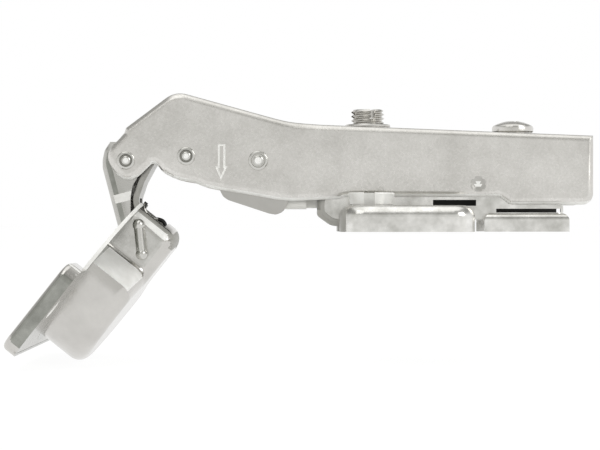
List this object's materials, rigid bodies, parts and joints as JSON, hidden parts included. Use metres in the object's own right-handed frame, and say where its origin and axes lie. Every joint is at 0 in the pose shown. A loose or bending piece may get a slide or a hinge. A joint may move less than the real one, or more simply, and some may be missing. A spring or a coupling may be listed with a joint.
{
  "type": "concealed cabinet hinge",
  "caption": "Soft-closing concealed cabinet hinge: cranked channel arm on a winged clip plate, two pressed links and a round eared cup with a pocket each side.",
  "frame": {"origin": "on the board the plate is screwed to, midway between the plate's two screw holes", "axes": "+Z away from the board, +X along the arm towards its rear end, Y across the arm; the hinge is stored fully open, as shown"},
  "size_m": [0.1199, 0.058, 0.0561],
  "materials": {
    "nickel_sheet": "satin nickel plate on pressed steel",
    "nickel_cup": "bright nickel plate on drawn steel",
    "plated_screw": "nickel plate on turned steel",
    "pin_steel": "polished steel",
    "link_steel": "nickel plate on blanked steel",
    "spring_wire": "black oiled spring wire",
    "damper_plastic": "grey acetal",
    "rod_steel": "ground steel"
  },
  "bodies": {
    "plate": {"mounting_plate": "nickel_sheet", "wing_collar_near": "plated_screw", "wing_collar_far": "plated_screw"},
    "arm": {"arm": "nickel_sheet", "front_pin": "pin_steel", "rear_pin": "pin_steel", "damper_rivet": "pin_steel", "adjusting_bush": "plated_screw", "damper_bracket": "nickel_sheet", "damper_body": "damper_plastic", "damper_gland": "damper_plastic"},
    "locking_screw": {"locking_screw": "plated_screw"},
    "adjusting_screw": {"adjusting_screw": "plated_screw"},
    "inner_link": {"inner_link": "link_steel"},
    "cup": {"cup": "nickel_cup", "cup_pin": "pin_steel", "closing_spring": "spring_wire"},
    "outer_link": {"outer_link": "link_steel"},
    "damper_rod": {"damper_rod": "rod_steel"}
  },
  "joints": [
    {"name": "arm_depth", "type": "slide", "parent": "plate", "child": "arm", "axis": [1, 0, 0], "range_m": [-0.002, 0.002]},
    {"name": "locking_screw_turn", "type": "hinge", "parent": "plate", "child": "locking_screw", "pos_m": [0.03055, 0, 0.015], "axis": [0, 0, 1], "range_deg": [0, 360]},
    {"name": "adjusting_screw_turn", "type": "hinge", "parent": "arm", "child": "adjusting_screw", "pos_m": [-0.0002, 0, 0.015], "axis": [0, 0, 1], "range_deg": [-360, 360]},
    {"name": "inner_link_pivot", "type": "hinge", "parent": "arm", "child": "inner_link", "pos_m": [-0.03825, 0, 0.01573], "axis": [0, 1, 0], "range_deg": [-53.35, 0]},
    {"name": "cup_pivot", "type": "hinge", "parent": "inner_link", "child": "cup", "pos_m": [-0.04803, 0, 0.00141], "axis": [0, 1, 0], "range_deg": [0, 148.35]},
    {"name": "outer_link_pivot", "type": "hinge", "parent": "cup", "child": "outer_link", "pos_m": [-0.0474, 0, -0.00463], "axis": [0, 1, 0], "range_deg": [-122.98, 0]},
    {"name": "damper_rod_slide", "type": "slide", "parent": "arm", "child": "damper_rod", "axis": [1, 0, 0], "range_m": [0, 0.003]}
  ],
  "couplings": [
    {"joint": "inner_link_pivot", "follows": "cup_pivot", "ratio": -0.35962},
    {"joint": "outer_link_pivot", "follows": "cup_pivot", "ratio": -0.82898},
    {"joint": "damper_rod_slide", "follows": "cup_pivot", "m_per_rad": 0.0011586}
  ]
}
